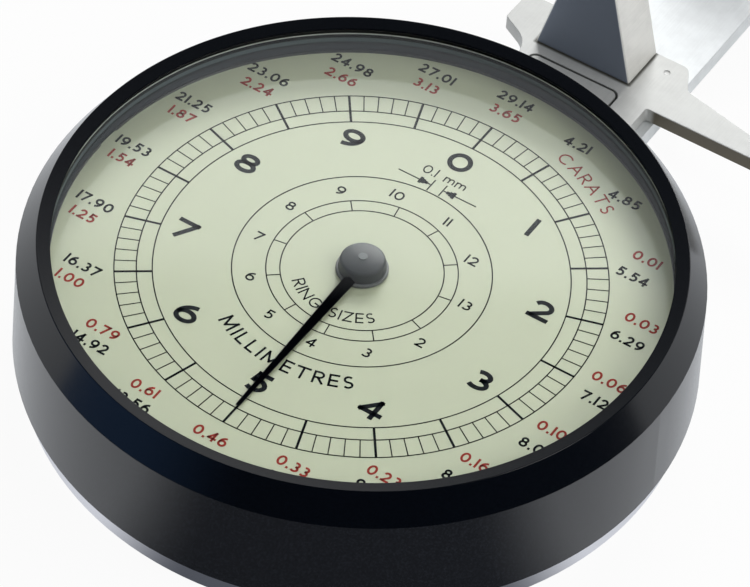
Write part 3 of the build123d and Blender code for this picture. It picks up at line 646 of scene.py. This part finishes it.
def write(ink, text, x, y, height, weight, gap=0.2, turn=0.0, widen=1.0, arcRadius=None):
    # a line of signs centred on x, y; weight is the stroke's width as a share of the height. With
    # arcRadius the signs stand round the dial's axis, outwards if it is positive, else inwards
    widths = [signs[sign][0] * widen + weight for sign in text]
    total = sum(widths) + gap * (len(text) - 1)
    start = -total / 2
    for sign, width in zip(text, widths):
        inner = max(width - weight, 1e-6)
        for line, (closed, square) in signs[sign][1]:
            points = np.array(line, float)
            points = points * (inner, 1 - weight) + (weight / 2, weight / 2)
            if square:
                ends = points[-1] - points[0]
                ends = ends / np.linalg.norm(ends) * weight / 2
                points[0] -= ends
                points[-1] += ends
            points = (points + (start, -0.5)) * height
            if arcRadius is None:
                angle = math.radians(turn)
                spun = np.stack([points[:, 0] * math.cos(angle) - points[:, 1] * math.sin(angle),
                                 points[:, 0] * math.sin(angle) + points[:, 1] * math.cos(angle)], 1)
                points = spun + (x, y)
            else:
                middle = (start + width / 2) * height
                angle = math.radians(turn) - middle / arcRadius
                local = points - (middle, 0)
                outward = np.array([math.cos(angle), math.sin(angle)]) * math.copysign(1, arcRadius)
                along = np.array([outward[1], -outward[0]])
                centre = np.array([math.cos(angle), math.sin(angle)]) * abs(arcRadius)
                points = centre + local[:, :1] * along + local[:, 1:] * outward
            ink.stroke(points * unit, weight * height * unit, closed)
        start += width + gap


def polar(radius, clock):
    # a place on the dial by its radius and its angle clockwise from the 0 mark
    angle = math.radians(90 - clock)
    return radius * math.cos(angle), radius * math.sin(angle)


blackInk = ink("blackInk", (0.006, 0.008, 0.010, 1))
redInk = ink("redInk", (0.30, 0.035, 0.026, 1))


def circle(ink, radius, width, steps=240):
    ink.stroke(arc(0, 0, radius * unit, radius * unit, 0, 360 - 360 / steps, steps), width * unit, True)


def radialTick(ink, inner, outer, clock, width):
    ink.stroke(np.array([polar(inner, clock), polar(outer, clock)]) * unit, width * unit)


def dialScale():
    look = dict(outer=1.0, middle=0.91, inner=0.846, line=0.0050, tick=0.0045, heavy=0.0105, wide=0.527)
    ink = Print("dial_scale_print", "dial_cream", blackInk)
    for radius in (look["outer"], look["middle"], look["inner"], look["wide"]):
        circle(ink, radius, look["line"])
    for hundredth in range(100):
        if hundredth % 5:
            radialTick(ink, look["middle"], look["outer"], 3.6 * hundredth, look["tick"])
        else:
            radialTick(ink, look["inner"], look["outer"], 3.6 * hundredth, look["heavy"])
    return ink.finish()


def dialNumbers():
    look = dict(radius=0.748, height=0.108, weight=0.20, widen=1.18)
    ink = Print("dial_number_print", "dial_cream", blackInk)
    for number in range(10):
        x, y = polar(look["radius"], 36 * number)
        write(ink, str(number), x, y, look["height"], look["weight"], widen=look["widen"])
    return ink.finish()


def ringScale():
    look = dict(outer=0.389, inner=0.332, line=0.0048, first=20.2, labels=0.452, height=0.049, weight=0.16)
    places = dict(zip(("11", "12", "13", "2", "3", "4", "5", "6", "7", "8", "9", "10"),
                      (18, 48, 80, 116, 144.5, 173.5, 202, 230, 259, 287, 316, 346)))
    ink = Print("ring_size_print", "dial_cream", blackInk)
    circle(ink, look["outer"], look["line"])
    circle(ink, look["inner"], look["line"])
    for step in range(12):
        radialTick(ink, look["inner"], look["outer"], look["first"] + 30 * step, look["line"])
    for label, clock in places.items():
        x, y = polar(look["labels"], clock)
        write(ink, label, x, y, look["height"], look["weight"])
    write(ink, "RING SIZES", 0, 0, 0.054, 0.12, 0.18, -90, 1.0, -0.266)
    return ink.finish()


def legend():
    look = dict(bar=0.0285, top=0.603, foot=0.533, line=0.569, far=0.188, head=0.054, halfHead=0.021,
                width=0.0055)
    ink = Print("legend_print", "dial_cream", blackInk)
    write(ink, "0.1 mm", -0.004, 0.638, 0.048, 0.12, 0.16)
    for side in (-1, 1):
        near, tip = side * look["bar"], side * (look["bar"] + 0.004)
        ink.stroke(np.array([(near, look["foot"]), (near, look["top"])]) * unit, look["width"] * unit)
        shaft = [(tip + side * look["head"] * 0.8, look["line"]), (side * look["far"], look["line"])]
        ink.stroke(np.array(shaft) * unit, look["width"] * unit)
        for share in (0.25, 0.5, 0.75, 1.0):
            part = [(tip + side * look["head"] * (share - 0.25), look["line"]),
                     (tip + side * look["head"] * share, look["line"])]
            ink.stroke(np.array(part) * unit, 2 * look["halfHead"] * (share - 0.12) * unit)
    return ink.finish()


firstTurn = "0.01 0.03 0.06 0.10 0.16 0.23 0.33 0.46 0.61 0.79 1.00 1.25 1.54 1.87 2.24 2.66 3.13 3.65"
secondTurn = ("4.21 4.85 5.54 6.29 7.12 8.00 8.96 9.99 11.10 12.29 "
              "13.56 14.92 16.37 17.90 19.53 21.25 23.06 24.98 27.01 29.14")


def caratNumbers():
    # carats of a round brilliant by its diameter, every half millimetre: red from 1.5 to 10 mm, black from
    # 10.5 to 20 mm, a turn later. Black stands above red on the left of the dial and below it on the right
    look = dict(height=0.052, weight=0.19, left=1.150, right=1.130, close=0.087, apart=0.115, gap=0.17)
    style = dict(height=look["height"], weight=look["weight"], gap=look["gap"], widen=0.84)
    red = Print("carat_print_red", "dial_cream", redInk)
    black = Print("carat_print_black", "dial_cream", blackInk)
    write(black, secondTurn.split()[0], 0.345, 1.122, **style)
    write(black, secondTurn.split()[1], 0.667, 0.962, **style)
    for index, (small, large) in enumerate(zip(firstTurn.split(), secondTurn.split()[2:])):
        value = 1.5 + index / 2
        onLeft = value >= 6.5
        side = 1 if onLeft else -1
        gap = look["close"] if value >= 4 else look["apart"]
        x, y = polar(look["left"] if onLeft else look["right"], 36 * value)
        write(black, large, x, y + side * gap / 2, **style)
        write(red, small, x, y - side * gap / 2, **style)
    write(red, "CARATS", 0, 0, 0.060, 0.12, 0.24, 62.8, 1.0, 1.078)
    return black.finish(), red.finish()


def lowerWord():
    ink = Print("dial_word_print", "dial_cream", blackInk)
    write(ink, "MILLIMETRES", 0, 0, 0.066, 0.15, 0.24, -90, 1.0, -0.615)
    return ink.finish()


dialScale()
dialNumbers()
ringScale()
legend()
caratNumbers()
lowerWord()
print("dial printed")


# the bezel, the glass, the pointer and its collar as smooth turned pieces in place of the faceted nodes

ringSegments = 288


def bezelRing():
    look = dict(round=0.10, lipRound=0.05, small=0.02, lip=26.7, lipDrop=0.3, lipDepth=0.5, spigot=27.95,
                slope=1.74, play=0.05, firstLipRow=15, lastLipRow=28)
    bottom, top = low("bezel") / mm, high("bezel") / mm
    outer, lip, spigot = high("bezel", 0) / mm, look["lip"], look["spigot"]
    glassEdge, spigotTop = high("crystal", 0) / mm + look["play"], low("crystal") / mm
    lipBottom, lipTop = top - look["lipDepth"], top - look["lipDrop"]
    crest = outer - look["slope"]
    shape = Shape()
    shape.lathe([(spigot, bottom, look["small"]), (outer, bottom, look["small"]),
                 (crest, top, look["round"]), (lip, lipTop, look["lipRound"]),
                 (lip, lipBottom, look["small"]), (glassEdge, lipBottom, look["small"]),
                 (glassEdge, spigotTop, look["small"]), (spigot, spigotTop, look["small"])], ringSegments)
    piece = shape.finish("bezel_ring", materials["bezel"], "black_satin")
    # the lip's slope and inner wall are matt: the rows from the crest's arc to the lip's foot
    piece.data.materials.append(materials["lip"])
    rows = np.repeat(np.arange(len(shape.faces) // ringSegments), ringSegments)
    matt = (rows >= look["firstLipRow"]) & (rows <= look["lastLipRow"])
    piece.data.polygons.foreach_set("material_index", matt.astype(np.int32))
    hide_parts("bezel")
    return piece


def wallSleeve():
    # the case's inner wall above the dial as the glass shows it: a thin turned sleeve, thinned at the top,
    # carrying the painted bands of reflection, highlight and shade
    look = dict(radius=27.0, thickness=0.05, play=0.004, thinned=0.03, edge=0.11)
    bottom, top = dialTop / mm, low("crystal") / mm - 0.01
    inner, outer = look["radius"] - look["thickness"], look["radius"] - look["play"]
    shape = Shape()
    shape.lathe([(inner, bottom, 0.0), (outer, bottom, 0.0), (outer, top, 0.0),
                 (inner + look["thinned"], top, 0.0), (inner, top - look["edge"], 0.0)], ringSegments)
    return shape.finish("wall_sleeve", materials["wall"], "black_satin")


def glassDisc():
    look = dict(edge=0.15)
    radius = high("crystal", 0) / mm
    bottom, top, edge = low("crystal") / mm, high("crystal") / mm, look["edge"]
    slant = math.sqrt(0.5)
    # every corner twice, once for each of the faces that meet there
    corners = [(radius - edge, bottom), (radius, bottom + edge), (radius, top - edge), (radius - edge, top)]
    section = np.repeat(corners, 2, 0)
    normal = [(0, -1), (slant, -slant), (slant, -slant), (1, 0),
              (1, 0), (slant, slant), (slant, slant), (0, 1)]
    shape = Shape()
    shape.dome(section, normal, 256)
    piece = shape.finish("crystal_disc", materials["glass"], "glass")
    piece.visible_shadow = False
    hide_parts("crystal")
    return piece


collarThickness = 0.3       # mm


def pointerHand():
    # the hub turned from its side, a rounded shoulder and a dome, and the needle on its collar
    look = dict(side=2.1, shoulder=2.0, round=0.32, rise=0.3, height=1.3, sideLean=4, needleStart=0.6,
                needleEnd=19.2, rootWidth=1.15, tipWidth=0.34, rootHeight=0.45, tipHeight=0.14, lift=0.05,
                drop=0.28, ridge=0.22)
    bottom = low("pointer_collar") / mm + collarThickness
    top = bottom + look["height"]
    radius = (look["shoulder"] ** 2 + look["rise"] ** 2) / 2 / look["rise"]
    slope = math.asin((look["shoulder"] - look["round"]) / radius)
    side = math.radians(90 - look["sideLean"])
    turns = np.linspace(side, slope, 9)
    rim = look["shoulder"] - look["round"]
    rimHeight = top - radius + radius * math.cos(slope) - look["round"] * math.cos(slope)
    rimMiddle = rim - look["round"] * math.sin(slope) + look["round"] * 0.2
    shoulderNormal = np.stack([np.sin(turns), np.cos(turns)], 1)
    shoulder = shoulderNormal * look["round"] + (rimMiddle, rimHeight)
    bends = np.linspace(slope, 0.06, 10)
    capNormal = np.stack([np.sin(bends), np.cos(bends)], 1)
    cap = capNormal * radius + (0, top - radius)
    shape = Shape()
    foot = [(look["side"], bottom), (look["side"], bottom)]
    footNormal = [(0, -1), tuple(shoulderNormal[0])]
    shape.dome(np.vstack([foot, shoulder, cap]), np.vstack([footNormal, shoulderNormal, capNormal]), 128)
    needle(shape, look, bottom + look["lift"])
    piece = shape.finish("pointer_hand", materials["pointer_dark"], "pointer_dark", "pointer")
    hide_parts("pointer")
    return piece


def needle(shape, look, bottom):
    # a roof with a narrow flat ridge; every face has its own four corners, so it stays flat shaded
    ends = []
    for y, height, width, rise in ((-look["needleStart"], bottom, look["rootWidth"], look["rootHeight"]),
                                   (-look["needleEnd"], bottom - look["drop"], look["tipWidth"],
                                    look["tipHeight"])):
        half, ridge = width / 2, width / 2 * look["ridge"]
        ends.append(np.array([(-half, y, height), (half, y, height), (half, y, height + rise * 0.2),
                              (ridge, y, height + rise), (-ridge, y, height + rise),
                              (-half, y, height + rise * 0.2)]))
    near, far = ends
    for index in range(6):
        after = (index + 1) % 6
        corners = np.array([[near[index], near[after]], [far[index], far[after]]])
        normal = np.cross(corners[0, 1] - corners[0, 0], corners[1, 0] - corners[0, 0])
        normal = -normal / np.linalg.norm(normal)
        shape.grid(corners, np.broadcast_to(normal, corners.shape), closedRows=False)
    shape.faces.append((np.arange(6)[::-1] + shape.count).tolist())
    shape.points.append(far)
    shape.normals.append(np.broadcast_to(np.array([0.0, -1.0, 0.0]), far.shape))
    shape.count += 6


def collarRing():
    look = dict(radius=2.3, bore=0.44, edge=0.1)
    bottom = low("pointer_collar") / mm
    top = bottom + collarThickness
    shape = Shape()
    shape.lathe([(look["bore"], bottom, 0.02), (look["radius"], bottom, 0.03),
                 (look["radius"], top, look["edge"]), (look["bore"], top, 0.02)], 128)
    piece = shape.finish("pointer_collar_ring", materials["collar_grey"], "collar_grey", "pointer")
    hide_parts("pointer_collar")
    return piece


bezelRing()
wallSleeve()
glassDisc()
pointerHand()
collarRing()
print("turned pieces made")


# the head's plates and blocks with lightly broken edges: the node's own faces, merged where they are flat

def brokenEdges(node, name, width, material, body="case"):
    look = dict(merge=2e-6, flat=0.4, corner=30, segments=2)
    work = bmesh.new()
    work.from_mesh(frame["nodes"][node].data)
    bmesh.ops.remove_doubles(work, verts=work.verts, dist=look["merge"])
    bmesh.ops.dissolve_limit(work, angle_limit=math.radians(look["flat"]), verts=work.verts,
                             edges=work.edges)
    sharp = [edge for edge in work.edges if edge.calc_face_angle(0) > math.radians(look["corner"])]
    bmesh.ops.bevel(work, geom=sharp, offset=width * mm, offset_type="OFFSET", segments=look["segments"],
                    profile=0.5, affect="EDGES", clamp_overlap=False, miter_outer="ARC")
    mesh = bpy.data.meshes.new(name)
    work.to_mesh(mesh)
    work.free()
    mesh.polygons.foreach_set("use_smooth", np.ones(len(mesh.polygons), bool))
    mesh.materials.clear()
    mesh.materials.append(material)
    piece = bpy.data.objects.new(name, mesh)
    bpy.context.scene.collection.objects.link(piece)
    smooth = piece.modifiers.new("flatFaces", "WEIGHTED_NORMAL")
    smooth.mode = "FACE_AREA"
    smooth.weight = 100
    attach(piece, body)
    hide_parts(node)
    return piece


brokenEdges("fixed_jaw_plate", "jaw_plate_soft", 0.05, materials["jaw_steel"])
brokenEdges("neck_tongue", "neck_tongue_soft", 0.04, materials["tongue_steel"])
brokenEdges("fixed_anvil", "fixed_anvil_soft", 0.05, materials["anvil_steel"])
brokenEdges("slide", "slide_soft", 0.08, materials["slide_steel"], body="slide")
brokenEdges("moving_anvil", "moving_anvil_soft", 0.05, materials["ground_steel"], body="slide")
print("broken edges made")
